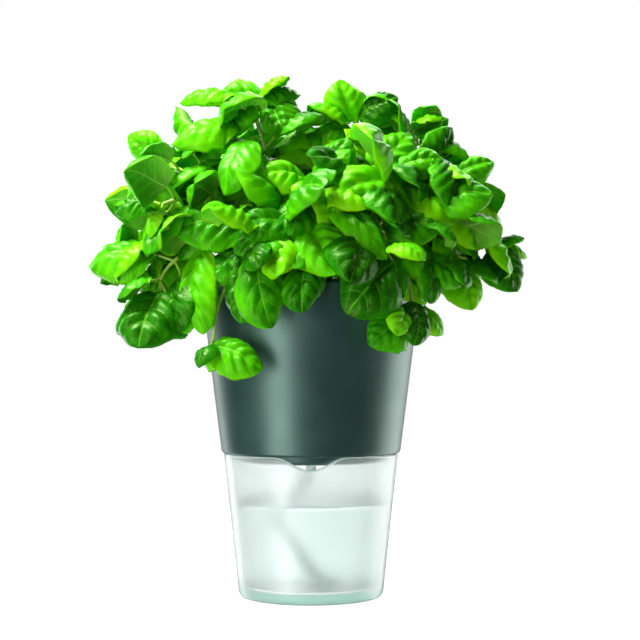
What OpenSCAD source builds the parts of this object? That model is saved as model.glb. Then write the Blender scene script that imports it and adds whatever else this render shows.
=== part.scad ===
// Self watering herb planter: a glazed ceramic pot whose spigot drops into a
// frosted glass reservoir. A nylon wick lifts the water to a potted basil plant.
// Millimetres, +Z up. The origin is the centre of the reservoir's foot, and the
// pouring notch faces -Y.

/* [Glass reservoir] */
// Height of the glass rim, where the ceramic shoulder rests
glass_h = 84; // [80:1:90]
// Outer radius of the glass at the foot
glass_foot_r = 42.2; // [41:0.1:44]
// Outer radius of the glass at the rim
glass_rim_r = 51.3; // [50.8:0.1:52]
// Thickness of the glass wall
glass_wall = 3.2; // [2.8:0.1:3.4]
// Thickness of the glass floor
glass_floor = 6; // [4:0.5:8]
// Half width of the pouring notch in the rim
notch_half_w = 20.7; // [14:0.1:22]
// Depth of the pouring notch
notch_depth = 7.1; // [6.8:0.1:9]

/* [Ceramic pot] */
// Height of the pot's rim above the table
rim_z = 183.5; // [180:0.5:190]
// Outer radius of the pot's rim
rim_r = 65; // [64:0.1:66]
// Outer radius of the shoulder
shoulder_r = 52.5; // [52.3:0.1:53]
// Wall thickness of the pot
pot_wall = 4.9; // [4.5:0.1:5.2]
// Thickness of the pot's floor
pot_floor = 5.7; // [5:0.1:7]
// Outer radius of the spigot that drops into the glass
spigot_r = 45.7; // [45:0.1:46]
// How far the spigot reaches below the shoulder
spigot_h = 4.7; // [4:0.1:5]
// Radius of the wick hole in the floor
wick_hole_r = 4.2; // [3.8:0.1:6]

/* [Wick] */
// Diameter of the braided wick
wick_d = 6; // [5:0.5:6.5]
// Turns of the wick's spiral on the pot's floor
coil_turns = 2.5; // [1.5:0.5:3]
// Outer radius of the spiral
coil_r = 34; // [28:1:36]

/* [Nursery pot] */
// Height of the nursery pot
nursery_h = 82; // [76:1:84]
// Outer radius of its base
nursery_base_r = 40; // [38:0.5:42]
// Outer radius of its wall at the rim
nursery_top_r = 53; // [50:0.5:54]
// Wall thickness
nursery_wall = 0.9; // [0.8:0.1:1.2]
// Number of drain holes
drain_holes = 8; // [4:1:10]

/* [Plant] */
// Depth of the soil's surface below the nursery pot's rim
soil_gap = 7; // [5:1:10]
// Radius of a stem at the soil
stem_r = 1.6; // [1.3:0.1:1.9]
// Width of a leaf over its length
leaf_aspect = 0.8; // [0.6:0.01:0.9]

/* [Hidden] */
shoot_count = 26;
shoot_ids = [for (i = [1:shoot_count]) str(i < 10 ? "0" : "", i)];
$fn = 96;

glass_col = [0.80, 0.93, 0.90];
ceramic_col = [0.20, 0.24, 0.25];
wick_col = [0.93, 0.93, 0.90];
nursery_col = [0.12, 0.12, 0.12];
soil_col = [0.16, 0.10, 0.06];
stem_col = [0.62, 0.82, 0.30];
leaf_col = [0.30, 0.70, 0.10];

clearance = 0.3;
spigot_z = glass_h - spigot_h;
floor_z = spigot_z + pot_floor;
wick_z = floor_z + wick_d / 2 + 0.1;
nursery_z = floor_z + wick_d + clearance;
nursery_rim_z = nursery_z + nursery_h;
soil_z = nursery_z + nursery_wall + 0.2;
soil_top = nursery_rim_z - soil_gap;

// ---- Shared geometry ----

function unit(v) = v / norm(v);
function polar(r, a) = [r * cos(a), r * sin(a)];

// Points of a round edge: centre, radius, and start and end angle.
function arc(c, r, a0, a1, n = 6) = [for (i = [0:n]) c + polar(r, a0 + (a1 - a0) * i / n)];

function tangent(p, i) = unit(p[min(i + 1, len(p) - 1)] - p[max(i - 1, 0)]);

// Side vectors carried along a path with no twist.
function side_vectors(p, u, i = 0, done = []) =
    i == len(p) ? done :
    let (t = tangent(p, i), v = unit(u - (u * t) * t))
    side_vectors(p, v, i + 1, concat(done, [v]));

// A closed skin over rings of n points each, with flat ends.
module skin(rings, n) {
    last = (len(rings) - 1) * n;
    polyhedron(
        points = [for (ring = rings) each ring],
        faces = concat(
            [[for (k = [0:n - 1]) k]],
            [[for (k = [n - 1:-1:0]) last + k]],
            [for (i = [0:len(rings) - 2]) for (k = [0:n - 1]) each wall_pair(i * n, n, k)]));
}

// The two triangles between point k of a ring and the next ring.
function wall_pair(a, n, k) =
    let (m = (k + 1) % n)
    [[a + m, a + k, a + n + k], [a + m, a + n + k, a + n + m]];

// A round tube along path p, with one radius for each point.
module tube(p, radii, sides, start_side) {
    u = side_vectors(p, start_side);
    skin([for (i = [0:len(p) - 1])
            let (t = tangent(p, i), v = cross(t, u[i]))
            [for (k = [0:sides - 1])
                let (a = 360 * (k + 0.5) / sides)
                p[i] + radii[i] * (cos(a) * u[i] + sin(a) * v)]],
        sides);
}

// ---- Glass reservoir ----

function glass_outer(z) = glass_foot_r + (glass_rim_r - glass_foot_r) * z / glass_h;

module glass_reservoir() {
    foot_round = 3;
    floor_round = 4;
    lip = 0.8;
    inner_foot = glass_outer(glass_floor) - glass_wall;
    inner_rim = glass_rim_r - glass_wall + 0.4;
    color(glass_col)
    difference() {
        rotate_extrude()
        polygon(concat(
            [[0, 0]],
            arc([glass_foot_r - foot_round, foot_round], foot_round, -90, 0),
            [[glass_rim_r, glass_h - lip], [glass_rim_r - lip, glass_h],
             [inner_rim + lip / 2, glass_h], [inner_rim, glass_h - lip]],
            arc([inner_foot - floor_round, glass_floor + floor_round], floor_round, 0, -90),
            [[0, glass_floor]]));
        pouring_notch();
    }
}

// A smooth dip cut through the front of the rim.
module pouring_notch() {
    steps = 16;
    translate([0, -glass_rim_r / 2, 0])
    rotate([90, 0, 0])
    linear_extrude(glass_rim_r)
    polygon(concat(
        [for (i = [0:steps])
            let (x = notch_half_w * (2 * i / steps - 1))
            [x, glass_h - notch_depth * (1 + cos(180 * x / notch_half_w)) / 2]],
        [[notch_half_w, glass_h + 5], [-notch_half_w, glass_h + 5]]));
}

// ---- Ceramic pot ----

module ceramic_pot() {
    lip = pot_wall / 2;
    edge = 2;
    slope = (rim_r - shoulder_r) / (rim_z - glass_h);
    inner_foot = shoulder_r + slope * pot_floor - pot_wall;
    color(ceramic_col)
    difference() {
        rotate_extrude()
        polygon(concat(
            [[0, spigot_z]],
            arc([spigot_r - edge, spigot_z + edge], edge, -90, 0),
            [[spigot_r, glass_h]],
            arc([shoulder_r - edge, glass_h + edge], edge, -90, 0),
            arc([rim_r - lip, rim_z - lip], lip, 0, 180, 10),
            arc([inner_foot - 4, floor_z + 4], 4, 0, -90),
            [[0, floor_z]]));
        translate([0, 0, spigot_z - 1]) cylinder(r = wick_hole_r, h = pot_floor + 2);
    }
}

// ---- Wick ----

wick_sides = 8;

// The wick's route below the pot: down the hole, hanging in the water in a
// lazy S, then lying on the glass floor towards the back.
wick_route = [
    [0, 0, 88], [0, 0, 84], [0, 0, 79], [0, 1, 73], [-3, 2, 67], [-8, 3, 61],
    [-12, 4, 54], [-13.5, 4, 46], [-11.5, 3.5, 39], [-8, 2, 32], [-4, 0.5, 25],
    [-0.5, 1.2, 18.4], [2.6, 4.6, 12.9], [5, 9.8, 10], [6.5, 16, 9.4],
    [5.5, 22.5, 9.4], [1.5, 28, 9.4]];

module wick_tail() {
    color(wick_col)
    tube(wick_route, [for (p = wick_route) wick_d / 2], wick_sides, [1, 0, 0]);
}

// A flat spiral from its outer end in to the hole.
coil_steps = 12 * coil_turns;
coil_path = [for (i = [0:coil_steps])
    let (s = i / coil_steps, q = polar(coil_r * (1 - s), 360 * coil_turns * s))
    [q.x, q.y, wick_z]];

module wick_coil() {
    color(wick_col)
    tube(coil_path, [for (p = coil_path) wick_d / 2], wick_sides, [0, 0, 1]);
}

// ---- Nursery pot and soil ----

nursery_slope = (nursery_top_r - nursery_base_r) / nursery_h;

module nursery_pot() {
    bead_w = 1.2;
    bead_h = 3;
    bead_r = nursery_top_r - nursery_slope * bead_h;
    color(nursery_col)
    translate([0, 0, nursery_z])
    difference() {
        rotate_extrude()
        polygon([
            [0, 0], [nursery_base_r, 0], [bead_r, nursery_h - bead_h],
            [bead_r + bead_w, nursery_h - bead_h], [nursery_top_r + bead_w, nursery_h],
            [nursery_top_r - nursery_wall, nursery_h],
            [nursery_base_r + nursery_slope * nursery_wall - nursery_wall, nursery_wall],
            [0, nursery_wall]]);
        for (i = [0:drain_holes - 1])
            rotate(360 * i / drain_holes)
            translate([nursery_base_r * 0.7, 0, -1])
            cylinder(r = 3.5, h = 3, $fn = 32);
    }
}

module soil() {
    gap = nursery_wall + clearance;
    base_r = nursery_base_r + nursery_slope * (soil_z - nursery_z) - gap;
    top_r = nursery_base_r + nursery_slope * (soil_top - nursery_z) - gap;
    color(soil_col)
    translate([0, 0, soil_z])
    cylinder(r1 = base_r, r2 = top_r, h = soil_top - soil_z);
}

// ---- Basil plant ----

// One row for each shoot: the radius and angle of its root on the soil, its tip,
// how steeply it rises, how far it nods at the tip, its pairs of leaves, the
// length of its largest leaf and the turn of its first pair.
shoots = [
    [12, 170, [-34, -6, 287], 60, -26, 5, 36, 20],
    [12, 20, [28, 6, 284], 60, -30, 5, 33, 30],
    [20, 10, [64, 12, 268], 60, -14, 5, 35, 40],
    [26, 350, [80, -20, 240], 62, 0, 5, 37, 10],
    [32, 5, [102, 2, 208], 60, 22, 5, 34, 55],
    [30, 335, [84, -30, 198], 56, 18, 4, 36, 80],
    [22, 175, [-88, 4, 254], 62, -4, 5, 35, 30],
    [26, 200, [-86, -24, 228], 60, 10, 5, 35, 65],
    [32, 185, [-102, -8, 200], 60, 20, 5, 32, 5],
    [32, 205, [-86, -34, 184], 58, 22, 4, 38, 50],
    [34, 265, [-54, -58, 149], 44, 54, 2, 28, 130],
    [26, 260, [-12, -54, 216], 52, 8, 5, 38, 75],
    [14, 290, [4, -46, 238], 60, -8, 5, 32, 15],
    [24, 310, [44, -44, 242], 60, 0, 5, 38, 0],
    [30, 320, [66, -46, 212], 58, 14, 4, 38, 25],
    [34, 285, [40, -66, 200], 44, 16, 3, 36, 60],
    [34, 245, [-34, -60, 202], 44, 14, 4, 36, 10],
    [34, 315, [56, -58, 170], 46, 44, 3, 32, 70],
    [22, 140, [-56, 42, 252], 60, 0, 5, 35, 40],
    [6, 90, [-2, 22, 274], 60, -30, 5, 34, 5],
    [22, 45, [52, 50, 252], 60, 0, 5, 36, 60],
    [32, 30, [88, 42, 220], 60, 14, 5, 35, 20],
    [32, 150, [-88, 42, 220], 60, 14, 5, 35, 75],
    [32, 110, [-32, 84, 214], 58, 14, 5, 38, 30],
    [32, 70, [38, 86, 210], 58, 14, 5, 38, 50],
    [20, 85, [2, 64, 250], 60, 0, 5, 36, 10]];

// Leaves placed by hand, on the side towards the pouring notch: the shoot each
// one grows from, its heel, its point and its width over its length. A fifth
// value is the way its upper side faces, where that isn't simply up and out.
placed_leaves = [
    [1, [-44, -8, 293], [-76, -12, 288], 0.62],
    [1, [-28, -6, 289], [-53, -6, 296], 1.0, [-0.1, -1, 0.6]],
    [1, [-30, -10, 293], [-6, -12, 293], 0.85],
    [1, [-22, -12, 290], [-17, -24, 268], 0.95],
    [1, [-36, -12, 288], [-44, -22, 267], 0.85],
    [1, [-44, -20, 275], [-80, -28, 262], 0.75, [-0.2, -0.5, 0.85]],
    [1, [-37, -44, 262], [-48, -58, 230], 0.8],
    [2, [25, -4, 279], [19, -8, 303], 0.95, [-0.1, -1, 0.2]],
    [2, [28, -6, 281], [51, -12, 291], 0.85, [-0.2, -0.8, 0.55]],
    [2, [24, -6, 272], [40, -22, 252], 0.8],
    [2, [23, 0, 275], [3, -6, 271], 0.9, [0, -0.8, 0.6]],
    [3, [60, 6, 274], [82, 0, 280], 0.85],
    [3, [58, 4, 276], [44, -8, 284], 0.8],
    [4, [76, -36, 252], [80, -52, 222], 0.85],
    [5, [109, -4, 204], [122, -12, 179], 0.95, [0.4, -1, 0.4]],
    [5, [108, 0, 206], [126, 2, 210], 0.7],
    [6, [84, -22, 192], [92, -32, 167], 0.9, [0.4, -1, 0.3]],
    [9, [-108, -10, 195], [-122, -18, 183], 1.0],
    [9, [-107, -8, 200], [-110, -20, 216], 0.8],
    [10, [-85, -34, 178], [-91, -62, 145], 0.88, [0, -0.6, 0.8]],
    [10, [-82, -36, 176], [-70, -50, 152], 0.85],
    [11, [-54, -60, 147], [-26, -68, 134], 0.75],
    [12, [-6, -58, 213], [-38, -70, 211], 0.75],
    [14, [47, -52, 240], [22, -68, 226], 0.95],
    [14, [14, -56, 225], [42, -74, 194], 0.5],
    [15, [64, -46, 198], [66, -60, 170], 0.65],
    [16, [45, -67, 193], [19, -78, 164], 0.9],
    [16, [-4, -64, 193], [-1, -78, 165], 0.75],
    [17, [-30, -63, 197], [-19, -78, 157], 0.62],
    [17, [-62, -42, 200], [-62, -58, 152], 0.5],
    [18, [58, -60, 170], [56, -68, 147], 0.8],
    [20, [2, 10, 276], [13, -10, 254], 0.65],
    [20, [-7, 10, 275], [-15, -12, 250], 0.75],
    [18, [52, -60, 162], [33, -69, 146], 0.95]];

// The pot's rim as the plant sees it: nothing grows through this wall.
guard_in = nursery_top_r - 4;
guard_out = rim_r + 2;
guard_top = rim_z + 2;
function is_clear(p) =
    let (r = norm([p.x, p.y]))
    p.z > guard_top || r > guard_out || (r < guard_in && p.z > soil_top + 2);

// The four control points of a shoot's curve, all in one upright plane. The more
// a shoot nods, the straighter its tip hangs down.
function shoot_bezier(s) =
    let (root = polar(s[0], s[1]),
         foot = [root.x, root.y, soil_top],
         tip = s[2],
         out = [tip.x - foot.x, tip.y - foot.y, 0],
         back = max(0, 0.3 - max(0, s[4]) / 150))
    [foot, foot + [0, 0, s[3]], tip - back * out + [0, 0, s[4]], tip];

function bezier(b, t) =
    (1 - t) ^ 3 * b[0] + 3 * (1 - t) ^ 2 * t * b[1] + 3 * (1 - t) * t ^ 2 * b[2] + t ^ 3 * b[3];

function bezier_tangent(b, t) =
    unit((1 - t) ^ 2 * (b[1] - b[0]) + 2 * (1 - t) * t * (b[2] - b[1]) + t ^ 2 * (b[3] - b[2]));

stem_steps = 8;
stem_sides = 6;

module stem(s) {
    b = shoot_bezier(s);
    out = b[3] - b[0];
    color(stem_col)
    tube([for (i = [0:stem_steps]) bezier(b, i / stem_steps)],
         [for (i = [0:stem_steps]) stem_r * (1 - 0.45 * i / stem_steps)],
         stem_sides, unit(cross(out, [0, 0, 1])));
}

// A blade's cross sections past its heel: distance along the blade and half
// width, both as shares of the whole.
blade_stations = [[0.17, 0.74], [0.44, 1], [0.76, 0.8], [1, 0.2]];
leaf_bend = 86;
leaf_cup = 0.42;
leaf_half_t = 0.45;
stalk_r = 0.8;
heel_half_w = 1.3;

// Rings of four points: left edge, top, right edge and underside.
function leaf_ring(centre, side, up, half_w, half_t) =
    [centre - half_w * (side + leaf_cup * up), centre + half_t * up,
     centre + half_w * (side - leaf_cup * up), centre - half_t * up];

// The same ring square to a stalk that runs along way.
function stalk_ring(centre, side, way, half_w, half_t) =
    let (across = unit(side - (side * way) * way))
    leaf_ring(centre, across, cross(across, way), half_w, half_t);

// A leaf on its stalk: the stalk's foot on the stem, the blade's heel and point,
// the way its upper side faces, its width over its length and its bend.
function leaf_rings(foot, heel, point, face, aspect, bend) =
    let (dir = unit(point - heel),
         up = unit(face - (face * dir) * dir),
         side = cross(dir, up),
         half = bend / 2,
         length = norm(point - heel) * (half * PI / 180) / sin(half),
         arc_r = length / (bend * PI / 180),
         stalk_way = unit(heel - foot),
         blade_way = cos(half) * dir + sin(half) * up)
    concat(
        [stalk_ring(foot, side, stalk_way, stalk_r, stalk_r),
         stalk_ring(heel, side, unit(stalk_way + blade_way), heel_half_w, leaf_half_t)],
        [for (s = blade_stations)
            let (a = bend * (s[0] - 0.5),
                 centre = heel + arc_r * ((sin(a) + sin(half)) * dir + (cos(a) - cos(half)) * up))
            leaf_ring(centre, side, cos(a) * up + sin(a) * dir,
                      length * aspect / 2 * s[1], leaf_half_t)]);

// A repeatable number from 0 to 1 for each leaf.
function jitter(k) = (k * 0.618034) % 1;

// Leaves face the light: up, along their stem and away from the plant's middle.
function outward(p) = [p.x, p.y, 0] / max(60, norm([p.x, p.y]));
function leaf_face(p, axis) = 0.4 * axis + [0, 0, 0.75] + 0.9 * outward(p);

// The leaves that grow in opposite pairs up a shoot, each pair turned a quarter
// from the last. They stand out more the lower they are.
function paired_leaves(s) =
    let (b = shoot_bezier(s), pairs = s[5])
    [for (k = [0:pairs - 1]) for (half = [0, 1])
        let (f = k / (pairs - 1),
             t = 0.46 + 0.54 * f,
             seed = s[7] + 3 * k + half,
             node_p = bezier(b, t),
             axis = bezier_tangent(b, t),
             u = unit(cross(axis, [0.31, 0.2, 0.05] + [axis.y, -axis.x, 0.4])),
             v = cross(axis, u),
             turn = s[7] + 90 * k + 180 * half + 24 * (jitter(seed) - 0.5),
             radial = cos(turn) * u + sin(turn) * v,
             lean = 74 - 18 * f,
             reach = sin(lean) * radial + cos(lean) * axis,
             length = s[6] * (k == pairs - 1 ? 0.64 : 0.82 + 0.28 * jitter(seed + 0.5)),
             foot = node_p + 0.9 * radial,
             heel = foot + 0.3 * length * unit(reach + [0, 0, 0.15]),
             point = heel + length * unit(reach + 0.3 * outward(heel) - [0, 0, 0.42]),
             bend = leaf_bend + 24 * (jitter(seed + 0.2) - 0.5))
        leaf_rings(foot, heel, point, leaf_face(heel, axis), leaf_aspect, bend)];

// The foot of a placed leaf is the nearest step of its shoot's curve.
function nearest_on(b, p) =
    let (spots = [for (i = [8:20]) bezier(b, i / 20)],
         gaps = [for (q = spots) norm(q - p)])
    spots[search(min(gaps), gaps)[0]];

function hand_leaves(n) =
    [for (leaf = placed_leaves) if (leaf[0] == n)
        let (foot = nearest_on(shoot_bezier(shoots[n - 1]), leaf[1]))
        leaf_rings(foot, leaf[1], leaf[2],
                   is_undef(leaf[4]) ? leaf_face(leaf[1] * 1.6, [0, 0, 0.2]) : leaf[4],
                   leaf[3], leaf_bend)];

// Points of a leaf and the middles of its edges all stay clear of the rim.
function leaf_is_clear(rings) =
    len([for (i = [1:len(rings) - 1]) for (j = [0:3])
        if (!is_clear(rings[i][j]) || !is_clear((rings[i][j] + rings[i - 1][j]) / 2)) 1]) == 0;

leaf_ring_n = 4;
leaf_ring_count = len(blade_stations) + 2;

// All the leaves of shoot n are separate closed skins in one polyhedron.
module leaves(n) {
    every = concat(hand_leaves(n), paired_leaves(shoots[n - 1]));
    grown = [for (rings = every) if (leaf_is_clear(rings)) rings];
    size = leaf_ring_n * leaf_ring_count;
    last = size - leaf_ring_n;
    color(leaf_col)
    polyhedron(
        points = [for (rings = grown) for (ring = rings) each ring],
        faces = [for (g = [0:len(grown) - 1])
            let (o = g * size)
            each concat(
                [[o, o + 1, o + 2, o + 3]],
                [[o + last + 3, o + last + 2, o + last + 1, o + last]],
                [for (i = [0:leaf_ring_count - 2]) for (k = [0:3])
                    each wall_pair(o + i * leaf_ring_n, leaf_ring_n, k)])]);
}

// ---- Assembly ----

glass_reservoir();
ceramic_pot();
wick_coil();
wick_tail();
nursery_pot();
soil();
for (n = [1:shoot_count]) {
    stem(shoots[n - 1]);
    leaves(n);
}
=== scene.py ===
"""The looks of a self watering planter: a dark ceramic herb pot that stands in a
frosted glass reservoir, with a nylon wick and a potted basil plant.

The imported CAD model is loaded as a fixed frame, and every piece is built on it.
Lathed pieces take their heights and radii from their CAD boxes. Each stem and leaf
follows the rings of points of its own CAD solid. Lengths are in metres.
"""

import itertools
import math

import bpy
import numpy as np
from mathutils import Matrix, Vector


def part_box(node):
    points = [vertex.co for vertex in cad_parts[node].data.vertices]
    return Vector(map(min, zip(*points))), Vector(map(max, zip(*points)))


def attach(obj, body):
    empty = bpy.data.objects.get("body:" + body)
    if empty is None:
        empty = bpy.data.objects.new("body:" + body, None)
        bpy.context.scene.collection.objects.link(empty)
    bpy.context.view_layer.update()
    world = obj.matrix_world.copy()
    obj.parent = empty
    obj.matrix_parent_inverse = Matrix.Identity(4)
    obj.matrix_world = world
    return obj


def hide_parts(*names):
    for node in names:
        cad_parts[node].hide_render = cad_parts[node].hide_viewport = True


MM = 0.001
SHOOTS = 26

# Ceramic pot
POT_WALL = 4.9 * MM
POT_FLOOR = 5.7 * MM
POT_EDGE = 2.0 * MM
SPIGOT_RADIUS = 45.7 * MM
SHOULDER_RADIUS = 52.5 * MM
WICK_HOLE_RADIUS = 4.2 * MM
POT_INNER_ROUND = 4 * MM

# Glass reservoir
GLASS_FOOT_RADIUS = 42.2 * MM
GLASS_WALL = 3.2 * MM
GLASS_FLOOR = 6.0 * MM
GLASS_INNER_ROUND = 4 * MM
GLASS_FOOT_ROUND = 3 * MM
PUNT_DEPTH = 0.9 * MM
NOTCH_HALF_WIDTH = 20.7 * MM
NOTCH_DEPTH = 7.1 * MM
WATER_LEVEL = 55.0 * MM
WATER_GAP = 0.15 * MM
MENISCUS = 1.2 * MM

# Wick. The route below the pot repeats the CAD model's, in millimetres.
WICK_DIAMETER = 6.0 * MM
COIL_TURNS = 2.5
COIL_RADIUS = 34 * MM
WICK_ROUTE_MM = [
    (0, 0, 79.3), (0, 0.4, 76), (0, 1, 73), (-3, 2, 67), (-8, 3, 61), (-12, 4, 54),
    (-13.5, 4, 46), (-11.5, 3.5, 39), (-8, 2, 32), (-4, 0.5, 25), (-0.5, 1.2, 18.4),
    (2.6, 4.6, 12.9), (5, 9.8, 10), (6.5, 16, 9.4), (5.5, 22.5, 9.4), (1.5, 28, 9.4)]

# Root ball
SOIL_TAPER = 13 / 82
CRUMBS = 620
CRUMBS_PER_PERLITE = 7
ROOTS = 90
ROOT_STEP = 1.6 * MM
ROOT_SIDES = 6

# Leaves. A CAD blade has rings of points at these shares of its length. A side vein
# starts every 1/4.6 of the length, and runs forward by the sweep on its way out.
BLADE_STATIONS = np.array([0.0, 0.17, 0.44, 0.76, 1.0])
VEINS_A_SIDE = 4.6
VEIN_SWEEP = 0.46
VEIN_CURVE = 1.3
SMALL_LEAF = 22 * MM
BLADE_THICKNESS = 0.34 * MM


# ---- Numbers ----


def unit(vectors):
    """Vectors scaled to length one, along the last axis."""
    vectors = np.asarray(vectors, float)
    length = np.linalg.norm(vectors, axis=-1, keepdims=True)
    return vectors / np.maximum(length, 1e-12)


def smoothstep(low, high, values):
    """0 below low, 1 above high, and a smooth step between them."""
    t = np.clip((values - low) / (high - low), 0, 1)
    return t * t * (3 - 2 * t)


def blend(start, end, share):
    """Start turning to end as share goes from 0 to 1."""
    return (1 - share) * start + share * end


def smooth_curve(keys, values, t):
    """A smooth curve through rows of values at increasing keys, read at each t."""
    slopes = np.gradient(values, keys, axis=0)
    t = np.clip(t, keys[0], keys[-1])
    left = np.clip(np.searchsorted(keys, t, side="right") - 1, 0, len(keys) - 2)
    span = (keys[left + 1] - keys[left])[:, None]
    x = (t - keys[left])[:, None] / span
    start = (1 + 2 * x) * (1 - x) ** 2 * values[left]
    start_slope = x * (1 - x) ** 2 * span * slopes[left]
    end = x * x * (3 - 2 * x) * values[left + 1]
    end_slope = x * x * (x - 1) * span * slopes[left + 1]
    return start + start_slope + end + end_slope


def path_lengths(points):
    """The distance along a path to each of its points."""
    steps = np.linalg.norm(np.diff(points, axis=0), axis=1)
    return np.concatenate([[0.0], np.cumsum(steps)])


def even_path(points, step):
    """The smooth curve through points, with a point about every step along it."""
    keys = path_lengths(points)
    dense = smooth_curve(keys, points, np.linspace(0, keys[-1], 40 * len(points)))
    run = path_lengths(dense)
    count = max(4, int(round(run[-1] / step)) + 1)
    at = np.linspace(0, run[-1], count)
    return np.stack([np.interp(at, run, dense[:, k]) for k in range(3)], axis=1)


def path_sides(points):
    """Two side vectors at each point of a path, square to it and carried with no twist."""
    ways = unit(np.gradient(points, axis=0))
    sides = np.empty_like(ways)
    side = np.array([0.31, 0.2, 0.93])
    for i, way in enumerate(ways):
        side = unit(side - np.dot(side, way) * way)
        sides[i] = side
    return sides, np.cross(ways, sides)


def lattice_value(cells, seed):
    """A repeatable number from 0 to 1 for each whole-number cell."""
    mixed = cells @ np.array([127.1, 311.7, 74.7]) + seed * 53.3
    return np.modf(np.abs(np.sin(mixed)) * 43758.5453)[0]


def soft_noise(points, size, seed):
    """Smooth noise from -1 to 1 whose lumps are about that size."""
    scaled = points / size
    base = np.floor(scaled)
    part = scaled - base
    part = part * part * (3 - 2 * part)
    total = np.zeros(len(scaled))
    for corner in np.ndindex(2, 2, 2):
        corner = np.array(corner)
        weight = np.prod(np.where(corner, part, 1 - part), axis=1)
        total += weight * lattice_value(base + corner, seed)
    return 2 * total - 1


# ---- Meshes ----


def grid_faces(rows, columns):
    """Faces of a grid of points, closed round its columns."""
    row = columns * np.arange(rows - 1)[:, None]
    column = np.arange(columns)
    after = (column + 1) % columns
    corners = [row + column, row + after, row + columns + after, row + columns + column]
    return np.stack(corners, axis=-1).reshape(-1, 4).tolist()


def tube_faces(rows, columns):
    """Faces of a tube of rings, with a flat cap on each end."""
    last = (rows - 1) * columns
    caps = [list(range(columns))[::-1], list(range(last, last + columns))]
    return grid_faces(rows, columns) + caps


def ring_angles(count):
    """The angles of that many points evenly round a ring."""
    return 2 * np.pi * np.arange(count) / count


def tube_mesh(path, reach):
    """A capped tube round a path, with a reach for each ring and angle."""
    side_a, side_b = path_sides(path)
    angles = ring_angles(reach.shape[1])
    points = (path[:, None]
              + (reach * np.cos(angles))[..., None] * side_a[:, None]
              + (reach * np.sin(angles))[..., None] * side_b[:, None])
    return points.reshape(-1, 3), tube_faces(*reach.shape)


def joined(parts):
    """Many small meshes of points and faces, as one mesh."""
    points = []
    faces = []
    count = 0
    for part_points, part_faces in parts:
        points.append(part_points)
        faces += [[count + corner for corner in face] for face in part_faces]
        count += len(part_points)
    return np.concatenate(points), faces


def flipped(faces):
    """The same faces, looking the other way."""
    return [face[::-1] for face in faces]


def turned_points(profile, segments):
    """Points of (radius, height), each turned about +Z into a ring."""
    angles = ring_angles(segments)
    x = profile[:, :1] * np.cos(angles)
    y = profile[:, :1] * np.sin(angles)
    z = np.repeat(profile[:, 1:], segments, axis=1)
    return np.stack([x, y, z], axis=-1).reshape(-1, 3)


def fan_faces(rows, segments):
    """Triangles from the first and last row of a grid to two points that follow it."""
    first_end = rows * segments
    last_row = first_end - segments
    faces = []
    for k in range(segments):
        after = (k + 1) % segments
        faces.append([first_end, after, k])
        faces.append([first_end + 1, last_row + k, last_row + after])
    return faces


def lathe_mesh(profile, segments):
    """A profile of (radius, height), from axis to axis, turned about +Z."""
    profile = np.asarray(profile, float)
    ring = profile[1:-1]
    ends = np.array([[0, 0, profile[0][1]], [0, 0, profile[-1][1]]])
    points = np.concatenate([turned_points(ring, segments), ends])
    return points, grid_faces(len(ring), segments) + fan_faces(len(ring), segments)


def ring_mesh(profile, segments):
    """A closed loop of (radius, height), turned about +Z."""
    points = turned_points(np.asarray(profile, float), segments)
    faces = np.array(grid_faces(len(profile) + 1, segments)) % len(points)
    return points, faces.tolist()


def round_corners(corners):
    """A profile through (radius, height, rounding) corners, each rounded by that much."""
    arc_points = 8
    profile = [corners[0][:2]]
    for before, corner, after in zip(corners, corners[1:], corners[2:]):
        point = np.array(corner[:2])
        rounding = corner[2]
        if rounding == 0:
            profile.append(tuple(point))
            continue
        to_before = unit(before[:2] - point)
        to_after = unit(after[:2] - point)
        half_angle = 0.5 * math.acos(np.clip(np.dot(to_before, to_after), -1, 1))
        centre_way = unit(to_before + to_after)
        centre = point + centre_way * rounding / math.sin(half_angle)
        start = point + to_before * rounding / math.tan(half_angle) - centre
        end = point + to_after * rounding / math.tan(half_angle) - centre
        for share in np.linspace(0, 1, arc_points + 1):
            profile.append(tuple(centre + rounding * unit(blend(start, end, share))))
    profile.append(corners[-1][:2])
    return profile


def new_object(name, data):
    """An object in the scene, with its mesh, light or camera."""
    made = bpy.data.objects.new(name, data)
    bpy.context.scene.collection.objects.link(made)
    return made


def mesh_object(name, points, faces, materials):
    """A mesh object in the scene."""
    mesh = bpy.data.meshes.new(name)
    mesh.from_pydata(points.tolist(), [], faces)
    for material in materials:
        mesh.materials.append(material)
    return new_object(name, mesh)


def add_piece(name, points, faces, body, slot, materials, replaces=()):
    """Makes a smooth mesh piece that rides on a CAD body and stands for CAD nodes."""
    piece = mesh_object(name, points, faces, materials)
    piece.data.polygons.foreach_set("use_smooth", [True] * len(faces))
    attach(piece, body)
    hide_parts(*replaces)
    return piece


def set_attribute(piece, name, values):
    """Stores one number or one vector for each point of a piece."""
    kind, key = ("FLOAT", "value") if values.ndim == 1 else ("FLOAT_VECTOR", "vector")
    stored = piece.data.attributes.new(name, kind, "POINT")
    stored.data.foreach_set(key, values.ravel())


# ---- Reading the CAD frame ----


def welded_mesh(node):
    """A CAD node's distinct points, and the set of neighbours of each."""
    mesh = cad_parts[node].data
    points = np.empty(len(mesh.vertices) * 3)
    mesh.vertices.foreach_get("co", points)
    points = points.reshape(-1, 3)
    keys = np.round(points * 1e6).astype(np.int64)
    _, first, index = np.unique(keys, axis=0, return_index=True, return_inverse=True)
    index = index.ravel()
    near = [set() for _ in first]
    for polygon in mesh.polygons:
        corners = [int(index[k]) for k in polygon.vertices]
        for corner in corners:
            near[corner].update(corners)
    return points[first], near


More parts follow.
